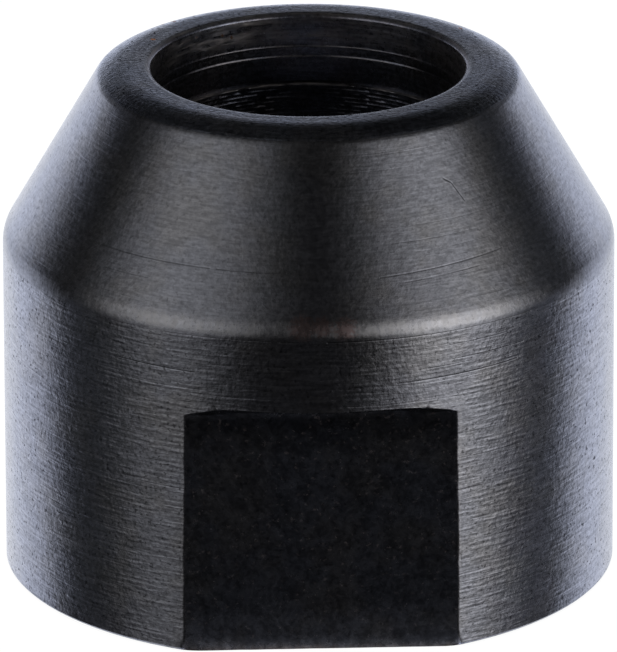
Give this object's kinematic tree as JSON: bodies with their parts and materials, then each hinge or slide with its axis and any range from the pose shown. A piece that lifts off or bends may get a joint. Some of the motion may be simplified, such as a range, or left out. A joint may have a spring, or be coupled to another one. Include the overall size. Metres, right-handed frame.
{
  "type": "collet nut",
  "caption": "Blackened steel collet nut with a conical nose, a stepped bore right through, an internal spindle thread and opposed spanner flats.",
  "frame": {"origin": "centre of the base, on the axis of the nut, where it stands on a bench", "axes": "+Z along the axis from the base to the nose; -Y and +Y are the outward normals of the two spanner flats"},
  "size_m": [0.019, 0.019, 0.0161],
  "materials": {
    "blackened_steel": "black oxide on turned steel, satin, with edges worn brighter"
  },
  "bodies": {
    "root": {"collet_nut": "blackened_steel"}
  },
  "joints": []
}
